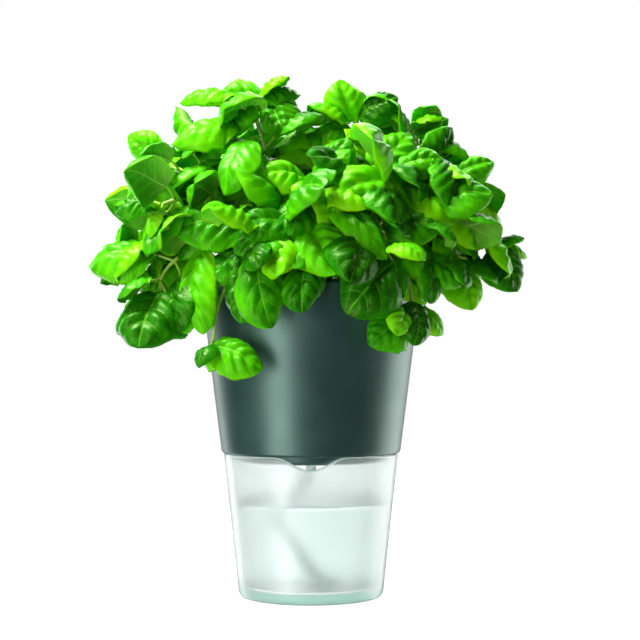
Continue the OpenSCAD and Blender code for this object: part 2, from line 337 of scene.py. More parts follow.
def connected_groups(near):
    """The separate solids of a welded mesh, each as a list of point numbers."""
    groups = []
    seen = set()
    for start in range(len(near)):
        if start in seen:
            continue
        group = [start]
        seen.add(start)
        for point in group:
            fresh = near[point] - seen
            seen.update(fresh)
            group.extend(sorted(fresh))
        groups.append(group)
    return groups


def rings_from(near, first_ring):
    """The rings of a tube's points, walking away from its first ring."""
    seen = set(first_ring)
    ring = sorted(first_ring)
    rings = []
    while ring:
        rings.append(ring)
        ring = sorted(set().union(*(near[point] for point in ring)) - seen)
        seen.update(ring)
    return rings


def stem_line(node):
    """The centre and radius of each ring of a CAD stem, from the soil upwards."""
    points, near = welded_mesh(node)
    lowest = points[np.argmin(points[:, 2])]
    by_distance = np.argsort(np.linalg.norm(points - lowest, axis=1))
    rings = rings_from(near, by_distance[:6].tolist())
    centres = np.array([points[ring].mean(axis=0) for ring in rings])
    radii = [np.linalg.norm(points[ring] - centre, axis=1).mean()
             for ring, centre in zip(rings, centres)]
    return centres, np.array(radii)


def read_leaf(points, rings):
    """A leaf's foot, and the centre, side, up and half width at each blade station."""
    centres = []
    sides = []
    ups = []
    half_widths = []
    for ring in rings[1:]:
        corners = points[ring]
        gaps = np.linalg.norm(corners[:, None] - corners, axis=2)
        left, right = np.unravel_index(np.argmax(gaps), gaps.shape)
        others = [k for k in range(4) if k not in (left, right)]
        middle = corners[others].mean(axis=0)
        side = unit(corners[right] - corners[left])
        if sides and np.dot(side, sides[-1]) < 0:
            side = -side
        centres.append(middle)
        sides.append(side)
        ups.append(unit(middle - (corners[left] + corners[right]) / 2))
        half_widths.append(gaps[left, right] / 2)
    return {
        "foot": points[rings[0]].mean(axis=0),
        "centres": np.array(centres),
        "sides": np.array(sides),
        "ups": np.array(ups),
        "half_width": half_widths[2]}


def cad_leaves(node, line):
    """Every leaf of a CAD node, read from the four points nearest to its stem."""
    points, near = welded_mesh(node)
    leaves = []
    for group in connected_groups(near):
        gaps = np.linalg.norm(points[group][:, None] - line[None], axis=2).min(axis=1)
        nearest = [group[k] for k in np.argsort(gaps)[:4]]
        rings = rings_from(near, nearest)
        if [len(ring) for ring in rings] != [4] * 6:
            raise ValueError(f"{node} has a leaf that can't be read")
        leaves.append(read_leaf(points, rings))
    return leaves


# ---- Shader nodes ----


def new_material(name):
    """A node material and its tree, which holds a Principled shader and an output."""
    material = bpy.data.materials.new(name)
    material.use_nodes = True
    return material, material.node_tree


def add_node(tree, kind, inputs=None, **settings):
    """One node with its settings, and inputs that are numbers, colours or sockets."""
    made = tree.nodes.new(kind)
    for key, value in settings.items():
        setattr(made, key, value)
    for key, value in (inputs or {}).items():
        plug(tree, made.inputs[key], value)
    return made


def plug(tree, socket, value):
    """Links a socket to another node's output, or sets it to a number or colour."""
    if isinstance(value, bpy.types.NodeSocket):
        tree.links.new(value, socket)
    elif isinstance(value, tuple) and len(socket.default_value) == 4:
        socket.default_value = (*value, 1)
    else:
        socket.default_value = value


def maths(tree, operation, a, b=0.0):
    """The result of one Math node."""
    made = add_node(tree, "ShaderNodeMath", {0: a, 1: b}, operation=operation)
    return made.outputs[0]


def between(tree, value, low, high, to_low=0.0, to_high=1.0):
    """A value's range low to high, stretched to another range and clamped."""
    inputs = {"Value": value, "From Min": low, "From Max": high,
              "To Min": to_low, "To Max": to_high}
    return add_node(tree, "ShaderNodeMapRange", inputs).outputs["Result"]


def colour_mix(tree, share, a, b):
    """Colour a turning to colour b as share goes from 0 to 1."""
    made = add_node(tree, "ShaderNodeMix", {0: share, 6: a, 7: b}, data_type="RGBA")
    return made.outputs[2]


def stained(tree, pattern, low, high, base, stain, most=1.0):
    """Colour base, turning to stain as a pattern rises from low to high."""
    return colour_mix(tree, between(tree, pattern, low, high, 0, most), base, stain)


def colour_ramp(tree, value, stops):
    """The colour at a value from 0 to 1, between stops of (value, colour)."""
    made = add_node(tree, "ShaderNodeValToRGB", {"Fac": value})
    elements = made.color_ramp.elements
    for element, (spot, colour) in zip(elements, (stops[0], stops[-1])):
        element.position = spot
        element.color = (*colour, 1)
    for spot, colour in stops[1:-1]:
        elements.new(spot).color = (*colour, 1)
    return made.outputs["Color"]


def place(tree):
    """The point in the object's own space, which is the CAD frame in metres."""
    return add_node(tree, "ShaderNodeTexCoord").outputs["Object"]


def noise(tree, size, detail=2.0, roughness=0.5):
    """Noise with lumps about that size, in metres."""
    inputs = {"Vector": place(tree), "Scale": 1.0 / size,
              "Detail": detail, "Roughness": roughness}
    return add_node(tree, "ShaderNodeTexNoise", inputs).outputs["Fac"]


def bump(tree, height, depth, strength):
    """A bumped normal. The height is from 0 to 1, and depth is that step in metres."""
    inputs = {"Height": height, "Distance": depth, "Strength": strength}
    return add_node(tree, "ShaderNodeBump", inputs).outputs["Normal"]


def shaded(material, inputs):
    """The material, with the named sockets of its shader set or linked."""
    tree = material.node_tree
    for key, value in inputs.items():
        plug(tree, tree.nodes["Principled BSDF"].inputs[key], value)
    return material


def mesh_value(tree, name, output="Fac"):
    """An attribute of the mesh, as a number or as the output that is named."""
    return add_node(tree, "ShaderNodeAttribute", attribute_name=name).outputs[output]


# ---- Camera, lights and stage ----


def add_camera():
    """A long lens level with the upper part of the pot, and tilted up a little."""
    data = bpy.data.cameras.new("camera")
    data.lens = 91.53
    data.sensor_width = 36
    camera = new_object("camera", data)
    camera.location = (0.0053, -0.96, 0.1454)
    camera.rotation_euler = (math.radians(90.986), 0, 0)
    bpy.context.scene.camera = camera


def add_softbox(name, azimuth, height, distance, width, tall, watts, aim):
    """A soft rectangular light, at an azimuth in degrees from the camera's side, where
    a negative one is to its left. It points at the height called aim."""
    data = bpy.data.lights.new(name, "AREA")
    data.shape = "RECTANGLE"
    data.size = width
    data.size_y = tall
    data.energy = watts
    light = new_object(name, data)
    turn = math.radians(azimuth)
    light.location = (math.sin(turn) * distance, -math.cos(turn) * distance, height)
    drop = math.atan2(height - aim, distance)
    light.rotation_euler = (math.pi / 2 - drop, 0, turn)
    light.visible_camera = False
    light.visible_transmission = False


def add_lights():
    """One softbox above on the left and one above behind, and three tall ones: at the
    front left and on both sides behind."""
    softboxes = {  # azimuth, height, distance, width, tall, watts, aim
        "overhead": (-70, 1.1, 0.5, 0.5, 0.5, 29, 0.22),
        "back_top": (165, 0.9, 0.75, 0.8, 0.4, 5, 0.22),
        "front_left": (-38, -0.05, 1.1, 0.46, 1.1, 9, 0.15),
        "back_right": (122, 0.0, 0.9, 0.75, 1.1, 8, 0.15),
        "back_left": (-138, 0.0, 0.9, 0.25, 1.1, 3, 0.15)}
    for name, numbers in softboxes.items():
        add_softbox(name, *numbers)


def strength_for_camera(tree, otherwise, seen):
    """One strength for what the camera sees, also through glass, and one otherwise."""
    ray = add_node(tree, "ShaderNodeLightPath")
    to_camera = maths(tree, "MAXIMUM", ray.outputs["Is Camera Ray"],
                      ray.outputs["Is Transmission Ray"])
    return between(tree, to_camera, 0, 1, otherwise, seen)


def add_world():
    """A white surround that is brighter behind the object than it lights it."""
    world = bpy.data.worlds.new("studio")
    bpy.context.scene.world = world
    world.use_nodes = True
    tree = world.node_tree
    tree.nodes.clear()
    strength = strength_for_camera(tree, 0.07, 1.0)
    background = add_node(tree, "ShaderNodeBackground", {"Color": (1, 1, 1), "Strength": strength})
    output = add_node(tree, "ShaderNodeOutputWorld")
    tree.links.new(background.outputs[0], output.inputs["Surface"])


def floor_material():
    """A pale floor that glows a little, as a lit table does, and takes soft shadows."""
    material, tree = new_material("pale_floor")
    glow = strength_for_camera(tree, 0.05, 0.97)
    return shaded(material, {
        "Base Color": (0.35, 0.35, 0.35), "Roughness": 0.9, "Specular IOR Level": 0.0,
        "Emission Color": (1, 1, 1), "Emission Strength": glow})


def add_floor():
    """A wide round floor under the object."""
    profile = [(0, 0), (0.5, 0), (2, 0), (6, 0), (0, -0.02)]
    floor = mesh_object("floor", *lathe_mesh(profile, 96), [floor_material()])
    floor.visible_glossy = False
    floor.visible_shadow = False


# ---- Materials ----


def glaze_material():
    """Satin slate glaze with a slight green cast, paler on the lip: partly thinner glaze, partly a
    painted highlight along the rim.
    """
    material, tree = new_material("slate_glaze")
    rim_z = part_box("ceramic_pot")[1].z
    height = add_node(tree, "ShaderNodeSeparateXYZ", {"Vector": place(tree)}).outputs["Z"]
    mottle = noise(tree, 14 * MM, detail=5)
    speck = noise(tree, 0.7 * MM, detail=3)
    base = stained(tree, mottle, 0.3, 0.7, (0.011, 0.042, 0.040), (0.017, 0.054, 0.051))
    base = stained(tree, speck, 0.62, 0.75, base, (0.03, 0.042, 0.04), most=0.5)
    # Painted highlight along the top of the lip, partly thinner glaze there.
    base = stained(tree, height, rim_z - 1.2 * MM, rim_z, base, (0.07, 0.085, 0.082), most=0.45)
    return shaded(material, {
        "Base Color": base,
        "Roughness": between(tree, mottle, 0.25, 0.75, 0.38, 0.44),
        "IOR": 1.6,
        "Specular IOR Level": 1.0,
        "Specular Tint": (0.66, 1.0, 0.85),
        "Normal": bump(tree, noise(tree, 2.2 * MM, detail=3), 0.02 * MM, 0.5)})


def add_absorption(tree, colour, density):
    """Tints the light that passes through a solid, more the further it goes."""
    body = add_node(tree, "ShaderNodeVolumeAbsorption", {"Color": colour, "Density": density})
    tree.links.new(body.outputs["Volume"], tree.nodes["Material Output"].inputs["Volume"])


def frosted_glass_material():
    """Satin frosted glass of a pale mint tint."""
    material, tree = new_material("frosted_glass")
    cloud = noise(tree, 20 * MM, detail=4)
    add_absorption(tree, (0.40, 0.88, 0.73), 14.0)
    return shaded(material, {
        "Base Color": (0.965, 0.996, 0.984),
        "Roughness": between(tree, cloud, 0.3, 0.7, 0.285, 0.34),
        "IOR": 1.5,
        "Transmission Weight": 0.9,
        "Normal": bump(tree, noise(tree, 0.35 * MM), 0.01 * MM, 0.4)})


def water_material():
    """Still water with a faint green tint."""
    material, tree = new_material("water")
    add_absorption(tree, (0.5, 0.95, 0.85), 1.8)
    return shaded(material, {
        "Base Color": (0.985, 1.0, 0.995),
        "Roughness": 0.02,
        "IOR": 1.333,
        "Transmission Weight": 1.0,
        "Normal": bump(tree, noise(tree, 30 * MM, detail=1), 0.2 * MM, 0.1)})


def nylon_material():
    """Off-white braided nylon with fine filaments, with a painted mint cast of light through the
    green glass and painted shade in its grooves.
    """
    material, tree = new_material("braided_nylon")
    crown = mesh_value(tree, "crown")
    stain = noise(tree, 9 * MM, detail=3)
    # Painted shade: darker and greener in the grooves than on the crowns, and a painted mint cast
    # all over from light through the glass.
    base = colour_mix(tree, crown, (0.68, 0.86, 0.78), (0.88, 0.97, 0.93))
    base = stained(tree, stain, 0.5, 0.8, base, (0.68, 0.66, 0.54), most=0.2)
    return shaded(material, {
        "Base Color": base,
        "Roughness": 0.55,
        "Sheen Weight": 0.25,
        "Subsurface Weight": 0.7,
        "Subsurface Radius": (1.0, 1.0, 1.0),
        "Subsurface Scale": 5 * MM,
        "Normal": bump(tree, noise(tree, 0.25 * MM), 0.12 * MM, 0.6)})


def nursery_material():
    """Thin matt black plastic with a fine moulded texture, scuffs and dust."""
    material, tree = new_material("black_plastic")
    scuff = noise(tree, 6 * MM, detail=6, roughness=0.7)
    dust = noise(tree, 18 * MM, detail=5)
    base = stained(tree, scuff, 0.45, 0.75, (0.012, 0.012, 0.013), (0.035, 0.034, 0.032))
    base = stained(tree, dust, 0.55, 0.8, base, (0.09, 0.07, 0.05), most=0.5)
    return shaded(material, {
        "Base Color": base,
        "Roughness": between(tree, scuff, 0.3, 0.7, 0.42, 0.62),
        "Normal": bump(tree, noise(tree, 0.5 * MM), 0.05 * MM, 0.5)})


def soil_material():
    """Damp crumbled peat: dark brown, with paler fibres."""
    material, tree = new_material("damp_peat")
    clod = noise(tree, 3 * MM, detail=6, roughness=0.65)
    fibre = noise(tree, 0.6 * MM, detail=3)
    base = stained(tree, clod, 0.35, 0.7, (0.010, 0.006, 0.004), (0.055, 0.032, 0.018))
    base = stained(tree, fibre, 0.62, 0.72, base, (0.14, 0.09, 0.05), most=0.6)
    return shaded(material, {
        "Base Color": base,
        "Roughness": between(tree, clod, 0.3, 0.7, 0.75, 0.98),
        "Normal": bump(tree, clod, 0.8 * MM, 0.8)})


def perlite_material():
    """White, porous perlite grains."""
    material, tree = new_material("perlite")
    pores = noise(tree, 0.5 * MM, detail=4)
    return shaded(material, {
        "Base Color": stained(tree, pores, 0.4, 0.65, (0.42, 0.38, 0.32), (0.82, 0.80, 0.75)),
        "Roughness": 0.9,
        "Normal": bump(tree, pores, 0.3 * MM, 0.8)})


def root_material():
    """Pale, fine basil roots."""
    material, tree = new_material("basil_root")
    stain = noise(tree, 3 * MM, detail=3)
    return shaded(material, {
        "Base Color": stained(tree, stain, 0.35, 0.7, (0.62, 0.54, 0.40), (0.32, 0.22, 0.13)),
        "Roughness": 0.7,
        "Normal": bump(tree, noise(tree, 0.4 * MM), 0.05 * MM, 0.5)})


def stem_material():
    """Pale yellow green stem, a little translucent, with a finely rough skin."""
    material, tree = new_material("basil_stem")
    stain = noise(tree, 12 * MM, detail=4)
    return shaded(material, {
        "Base Color": stained(tree, stain, 0.3, 0.7, (0.34, 0.58, 0.06), (0.52, 0.72, 0.16)),
        "Roughness": between(tree, stain, 0.3, 0.7, 0.34, 0.46),
        "Subsurface Weight": 0.35,
        "Subsurface Radius": (0.5, 1.0, 0.15),
        "Subsurface Scale": 1.2 * MM,
        "Normal": bump(tree, noise(tree, 0.5 * MM), 0.06 * MM, 0.4)})


def vein_masks(tree, across, along):
    """The midrib and the side veins of a leaf as masks, where its mesh has its grooves."""
    off_rib = maths(tree, "ABSOLUTE", across)
    midrib = between(tree, off_rib, 0.012, 0.034, 1, 0)
    swept = maths(tree, "MULTIPLY", maths(tree, "POWER", off_rib, VEIN_CURVE), VEIN_SWEEP)
    phase = maths(tree, "MULTIPLY", maths(tree, "SUBTRACT", along, swept), VEINS_A_SIDE)
    wave = maths(tree, "COSINE", maths(tree, "MULTIPLY", phase, 2 * math.pi))
    # A vein is where the wave is near its crest, and it narrows towards the edge.
    start = maths(tree, "ADD", maths(tree, "MULTIPLY", off_rib, 0.030), 0.962)
    side_veins = between(tree, wave, start, maths(tree, "ADD", start, 0.02))
    before_tip = between(tree, along, 0.76, 0.88, 0.7, 0)
    return midrib, maths(tree, "MULTIPLY", side_veins, before_tip)


def blade_green(tree, chance, across, cloud):
    """A leaf's green, from its random number, paler in patches, and with a painted glow of light
    through it towards its edge.
    """
    # Painted light: the blade is lighter towards its edge, where light shines through it.
    painted_edge_glow = between(tree, maths(tree, "ABSOLUTE", across), 0.35, 1.0, 0, 0.22)
    lightness = maths(tree, "ADD", maths(tree, "MULTIPLY", chance, 0.66), painted_edge_glow)
    lightness = maths(tree, "ADD", lightness, between(tree, cloud, 0.35, 0.75, 0, 0.16))
    return colour_ramp(tree, lightness, [
        (0.0, (0.001, 0.045, 0.0)), (0.25, (0.009, 0.190, 0.0)),
        (0.55, (0.088, 0.540, 0.0)), (1.0, (0.300, 0.800, 0.003))])


def leaf_material():
    """Glossy basil leaf: bright green, with paler recessed veins and a matt underside.
    The attribute leaf holds the place along and across a blade, and a random number."""
    material, tree = new_material("basil_leaf")
    leaf = mesh_value(tree, "leaf", "Vector")
    parts = add_node(tree, "ShaderNodeSeparateXYZ", {"Vector": leaf})
    upper = mesh_value(tree, "upper")
    along = parts.outputs["X"]
    across = parts.outputs["Y"]
    midrib, side_veins = vein_masks(tree, across, along)
    on_blade = between(tree, along, 0.0, 0.04)
    veins = maths(tree, "MULTIPLY", maths(tree, "MAXIMUM", midrib, side_veins), on_blade)
    cloud = noise(tree, 7 * MM, detail=4)
    cells = add_node(tree, "ShaderNodeTexVoronoi", {"Vector": place(tree), "Scale": 430.0},
                     feature="DISTANCE_TO_EDGE").outputs["Distance"]
    net = between(tree, cells, 0.0, 0.22, 1, 0)

    green = blade_green(tree, parts.outputs["Z"], across, cloud)
    top = stained(tree, veins, 0, 1, green, (0.24, 0.72, 0.02), most=0.36)
    top = stained(tree, net, 0, 1, top, (0.14, 0.66, 0.01), most=0.08)
    under = colour_mix(tree, 0.55, green, (0.24, 0.58, 0.06))
    under = stained(tree, veins, 0, 1, under, (0.48, 0.74, 0.20), most=0.6)
    blade = colour_mix(tree, upper, under, top)
    relief = maths(tree, "SUBTRACT", between(tree, net, 0, 1, 1, 0.88),
                   maths(tree, "MULTIPLY", veins, 0.35))
    roughness = maths(tree, "ADD", between(tree, upper, 0, 1, 0.55, 0.33),
                      between(tree, cloud, 0.3, 0.7, 0, 0.08))
    return shaded(material, {
        "Base Color": stained(tree, along, -0.05, 0.03, (0.36, 0.62, 0.07), blade),
        "Roughness": roughness,
        "Specular IOR Level": 0.34,
        "Specular Tint": (0.60, 1.0, 0.22),
        "Subsurface Weight": 0.4,
        "Subsurface Radius": (0.35, 1.0, 0.05),
        "Subsurface Scale": 1.0 * MM,
        "Normal": bump(tree, relief, 0.28 * MM, 0.7)})


# ---- Ceramic pot, glass and water ----


def pot_profile():
    """The pot's section from the hole's wall, out round the spigot and up the wall."""
    low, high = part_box("ceramic_pot")
    rim_radius = high.x
    rim_z = high.z
    shoulder_z = glass_high.z
    floor_z = low.z + POT_FLOOR
    slope = (rim_radius - SHOULDER_RADIUS) / (rim_z - shoulder_z)
    inner_foot = SHOULDER_RADIUS + slope * POT_FLOOR - POT_WALL
    lip = POT_WALL / 2 - 0.05 * MM
    return [
        (WICK_HOLE_RADIUS, (floor_z + low.z) / 2, 0),
        (WICK_HOLE_RADIUS, low.z, 0.8 * MM),
        (SPIGOT_RADIUS, low.z, POT_EDGE),
        (SPIGOT_RADIUS, shoulder_z, 0.4 * MM),
        (SHOULDER_RADIUS, shoulder_z, POT_EDGE),
        (rim_radius, rim_z, lip),
        (rim_radius - POT_WALL, rim_z, lip),
        (inner_foot, floor_z, POT_INNER_ROUND),
        (WICK_HOLE_RADIUS, floor_z, 1.5 * MM),
        (WICK_HOLE_RADIUS, (floor_z + low.z) / 2, 0)]


def split_long_steps(profile, longest):
    """The same profile, with extra points on every straight longer than that."""
    split = [profile[0]]
    for start, end in zip(profile, profile[1:]):
        count = max(1, math.ceil(math.dist(start, end) / longest))
        for k in range(1, count + 1):
            share = k / count
            split.append((start[0] + share * (end[0] - start[0]),
                          start[1] + share * (end[1] - start[1])))
    return split


def add_ceramic_pot():
    """The glazed pot, with its spigot, shoulder, round lip and wick hole."""
    profile = split_long_steps(round_corners(pot_profile()), 4 * MM)
    add_piece("glazed_pot", *ring_mesh(profile[:-1], 256), "pot", "dark_glaze",
              [glaze_material()], ["ceramic_pot"])


def glass_outer_radius(z):
    """The outer radius of the tapered glass at a height."""
    return GLASS_FOOT_RADIUS + (glass_high.x - GLASS_FOOT_RADIUS) * z / glass_high.z


def glass_inner_radius(z):
    """The inner radius of the glass at a height."""
    return glass_outer_radius(z) - GLASS_WALL


def glass_wall_column(turn):
    """The section of the glass wall at an angle, up its inside and down to the foot.
    The rim dips at the front to let water in."""
    lip = GLASS_WALL / 2
    x = (glass_outer_radius(glass_high.z) - lip) * math.cos(turn)
    dip = NOTCH_DEPTH * (1 + np.cos(np.pi * np.clip(x / NOTCH_HALF_WIDTH, -1, 1))) / 2
    lip_z = glass_high.z - (dip if math.sin(turn) < 0 else 0.0) - lip
    inside = []
    for share in np.linspace(0, 1, 15):
        z = GLASS_FLOOR + GLASS_INNER_ROUND + share * (lip_z - GLASS_FLOOR - GLASS_INNER_ROUND)
        inside.append((glass_inner_radius(z), z))
    lip_centre = glass_outer_radius(lip_z) - lip
    over = [(lip_centre - lip * math.cos(a), lip_z + lip * math.sin(a))
            for a in np.linspace(0.3, math.pi - 0.3, 9)]
    outside = []
    for share in np.linspace(0, 1, 15):
        z = lip_z + share * (GLASS_FOOT_ROUND - lip_z)
        outside.append((glass_outer_radius(z), z))
    return inside + over + outside


def round_heel(radius, height, angles):
    """The rounded corner inside the glass, where its floor at a height meets its wall."""
    r = GLASS_INNER_ROUND
    return [(radius - r + r * math.sin(a), height + r - r * math.cos(a)) for a in angles]


def add_glass_reservoir():
    """The frosted tumbler with a thick floor, a round lip and the pouring notch."""
    segments = 288
    turns = ring_angles(segments)
    inner = glass_inner_radius(GLASS_FLOOR)
    floor_radii = np.linspace(0, inner - GLASS_INNER_ROUND, 7)[1:-1]
    floor_in = [(radius, GLASS_FLOOR) for radius in floor_radii]
    floor_in += round_heel(inner, GLASS_FLOOR, np.linspace(0, math.pi / 2 - 0.2, 6))
    foot = glass_outer_radius(0)
    r = GLASS_FOOT_ROUND
    floor_out = [(foot - r + r * math.cos(a), r - r * math.sin(a))
                 for a in np.linspace(0.2, math.pi / 2, 6)]
    # The glass stands on a ring, with a shallow hollow inside it.
    floor_out += [(foot - 6 * MM, 0.0), (foot - 9 * MM, 0.6 * MM), (foot * 0.4, PUNT_DEPTH)]
    columns = np.array([floor_in + glass_wall_column(turn) + floor_out for turn in turns])
    x = columns[:, :, 0] * np.cos(turns)[:, None]
    y = columns[:, :, 0] * np.sin(turns)[:, None]
    grid = np.stack([x, y, columns[:, :, 1]], axis=-1).transpose(1, 0, 2)
    points = np.concatenate([grid.reshape(-1, 3), [[0, 0, GLASS_FLOOR], [0, 0, PUNT_DEPTH]]])
    faces = grid_faces(len(grid), segments) + fan_faces(len(grid), segments)
    add_piece("frosted_tumbler", points, flipped(faces), "reservoir", "frosted_glass",
              [frosted_glass_material()], ["glass_reservoir"])


def add_water():
    """The water in the reservoir, with a small meniscus against the glass."""
    floor_z = GLASS_FLOOR + WATER_GAP
    foot = glass_inner_radius(GLASS_FLOOR) - WATER_GAP
    profile = [(0, floor_z)] + round_heel(foot, floor_z, np.linspace(0, math.pi / 2, 7))
    for z in np.linspace(GLASS_FLOOR + 6 * MM, WATER_LEVEL + MENISCUS, 16):
        profile.append((glass_inner_radius(z) - WATER_GAP, z))
    edge = glass_inner_radius(WATER_LEVEL) - WATER_GAP
    for inward in (0.3, 0.8, 1.6, 3.0):
        rise = MENISCUS * math.exp(-inward / 0.9)
        profile.append((edge - inward * MM, WATER_LEVEL + rise))
    profile += [(0.02, WATER_LEVEL), (0, WATER_LEVEL)]
    add_piece("water", *lathe_mesh(profile, 192), "reservoir", "frosted_glass", [water_material()])


# ---- Wick ----


def add_braid(name, path, nylon, stands_for):
    """A braided cord along a path: strands that cross over and under each other."""
    strands = 8
    pitch = 7 * MM
    run = path_lengths(path)[:, None]
    angle = ring_angles(48)
    lean = 2 * np.pi * run / pitch
    right = np.cos(strands / 2 * (angle - lean))
    left = np.cos(strands / 2 * (angle + lean))
    weave = np.sin(strands / 2 * angle) * np.sin(strands / 2 * lean)
    crown = np.where(weave > 0, np.abs(right), np.abs(left)) ** 0.7
    unevenness = 1 + 0.012 * np.sin(run * 900 + 3 * angle)
    reach = WICK_DIAMETER / 2 * (0.90 + 0.10 * crown) * unevenness
    cord = add_piece(name, *tube_mesh(path, reach), "pot", "wick_nylon", [nylon], [stands_for])
    set_attribute(cord, "crown", crown.ravel())
    return cord


def coil_line():
    """The spiral on the pot's floor, from its outer end in to the hole and down it."""
    low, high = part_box("wick_coil")
    z = (low.z + high.z) / 2
    spiral = []
    for share in np.linspace(0, 0.80, 60):
        turn = 2 * math.pi * COIL_TURNS * share
        reach = COIL_RADIUS * (1 - share)
        spiral.append((reach * math.cos(turn), reach * math.sin(turn), z))
    spiral += [(1.2 * MM, 3.0 * MM, z - 0.2 * MM), (0.2 * MM, 0.8 * MM, z - 2.0 * MM),
               (0, 0, z - 5 * MM), (0, 0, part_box("ceramic_pot")[0].z)]
    return even_path(np.array(spiral), 0.5 * MM)


def add_wick():
    """The wick's coil, and its free end that hangs in the water."""
    nylon = nylon_material()
    add_braid("wick_spiral", coil_line(), nylon, "wick_coil")
    path = even_path(np.array(WICK_ROUTE_MM) * MM, 0.45 * MM)
    tail = add_braid("wick_free_end", path, nylon, "wick_tail")


# ---- Nursery pot and soil ----


def smooth_shading_nodes():
    """Geometry nodes that weld a mesh and shade it smooth, apart from its real edges."""
    group = bpy.data.node_groups.new("smooth_by_angle", "GeometryNodeTree")
    group.interface.new_socket("Geometry", in_out="INPUT", socket_type="NodeSocketGeometry")
    group.interface.new_socket("Geometry", in_out="OUTPUT", socket_type="NodeSocketGeometry")
    start = add_node(group, "NodeGroupInput")
    inputs = {"Geometry": start.outputs[0], "Distance": 1e-5}
    weld = add_node(group, "GeometryNodeMergeByDistance", inputs)
    inputs = {"Geometry": weld.outputs[0], "Shade Smooth": True}
    smooth = add_node(group, "GeometryNodeSetShadeSmooth", inputs, domain="FACE")
    angle = add_node(group, "GeometryNodeInputMeshEdgeAngle").outputs["Unsigned Angle"]
    is_edge = add_node(group, "FunctionNodeCompare", {"A": angle, "B": math.radians(35)},
                       data_type="FLOAT", operation="GREATER_THAN").outputs["Result"]
    inputs = {"Geometry": smooth.outputs[0], "Selection": is_edge, "Shade Smooth": False}
    edges = add_node(group, "GeometryNodeSetShadeSmooth", inputs, domain="EDGE")
    add_node(group, "NodeGroupOutput", {0: edges.outputs[0]})
    return group


def dress_nursery_pot():
    """The CAD nursery pot keeps its shape, and gets smooth walls and its plastic."""
    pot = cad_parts["nursery_pot"]
    pot.data.materials.clear()
    pot.data.materials.append(nursery_material())
    modifier = pot.modifiers.new("smooth_by_angle", "NODES")
    modifier.node_group = smooth_shading_nodes()


def icosahedron():
    """The corners and triangles of a regular twenty-sided solid of radius one."""
    golden = (1 + 5 ** 0.5) / 2
    corners = []
    for a in (-1, 1):
        for b in (-golden, golden):
            corners += [(0, a, b), (a, b, 0), (b, 0, a)]
    corners = unit(np.array(corners, float))
    gaps = np.linalg.norm(corners[:, None] - corners, axis=2)
    edge = gaps[gaps > 0.1].min() * 1.05
    faces = []
    for a, b, c in itertools.combinations(range(12), 3):
        if max(gaps[a, b], gaps[b, c], gaps[a, c]) > edge:
            continue
        normal = np.cross(corners[b] - corners[a], corners[c] - corners[a])
        outward = np.dot(normal, corners[a]) > 0
        faces.append([a, b, c] if outward else [a, c, b])
    return corners, faces


def crumb(centre, size, corners, seed):
    """A small irregular lump made from a regular solid's corners."""
    sizes = 1 + 0.35 * soft_noise(corners + seed, 0.7, seed)
    cells = np.array([[seed, 1, 2], [seed, 3, 4], [seed, 5, 6]])
    stretch = 0.7 + 0.6 * lattice_value(cells, seed)
    return np.array(centre) + size * corners * sizes[:, None] * stretch


def soil_surface(low, high):
    """The root ball: a tapered plug with a crumbly top and slightly uneven sides."""
    base_radius = high.x - (high.z - low.z) * SOIL_TAPER
    profile = [(0, low.z)]
    profile += [(r, low.z) for r in np.linspace(0, base_radius, 12)[1:]]
    for share in np.linspace(0, 1, 40)[1:]:
        r = base_radius + share * (high.x - base_radius)
        profile.append((r, low.z + share * (high.z - low.z)))
    profile += [(r, high.z) for r in np.linspace(high.x, 0, 40)[1:]]
    points, faces = lathe_mesh(profile, 180)
    radius = np.hypot(points[:, 0], points[:, 1])
    on_top = points[:, 2] > high.z - 1e-6
    heave = 1.1 * soft_noise(points, 6 * MM, 1) + 0.6 * soft_noise(points, 2.5 * MM, 2)
    points[:, 2] += np.where(on_top, (heave - 0.9) * MM, 0)
    dent = 0.35 * MM * (soft_noise(points, 4 * MM, 3) - 1.0)
    on_side = (radius > 1 * MM) & ~on_top & (points[:, 2] > low.z + 0.5 * MM)
    scale = np.where(on_side, 1 + dent / np.maximum(radius, 1 * MM), 1)
    points[:, :2] *= scale[:, None]
    return points, faces


def root_path(random, radius_at, low_z, high_z):
    """One root: it wanders down the side of the root ball, and round its base."""
    turn = random.uniform(0, 2 * math.pi)
    z = random.uniform(low_z + 0.2 * (high_z - low_z), high_z - 4 * MM)
    reach = random.uniform(25, 75) * MM
    drift = random.uniform(-1.2, 1.2)
    path = []
    for _ in range(int(reach / ROOT_STEP)):
        drift = np.clip(drift + random.normal() * 0.35, -1.5, 1.5)
        fall = 0.1 if z < low_z + 6 * MM else math.cos(drift)
        z = max(z - ROOT_STEP * fall, low_z + 1.5 * MM)
        turn += ROOT_STEP * math.sin(drift) / radius_at(z)
        path.append((radius_at(z) * math.cos(turn), radius_at(z) * math.sin(turn), z))
    return even_path(np.array(path), 1.2 * MM)


def add_roots(radius_at, low_z, high_z):
    """Fine pale roots on the sides of the root ball, seen when it is lifted out."""
    random = np.random.default_rng(23)
    roots = []
    for _ in range(ROOTS):
        path = root_path(random, radius_at, low_z, high_z)
        thick = random.uniform(0.22, 0.42) * MM * np.linspace(1, 0.45, len(path))
        roots.append(tube_mesh(path, np.repeat(thick[:, None], ROOT_SIDES, axis=1)))
    add_piece("fine_roots", *joined(roots), "plant", "potting_soil", [root_material()])


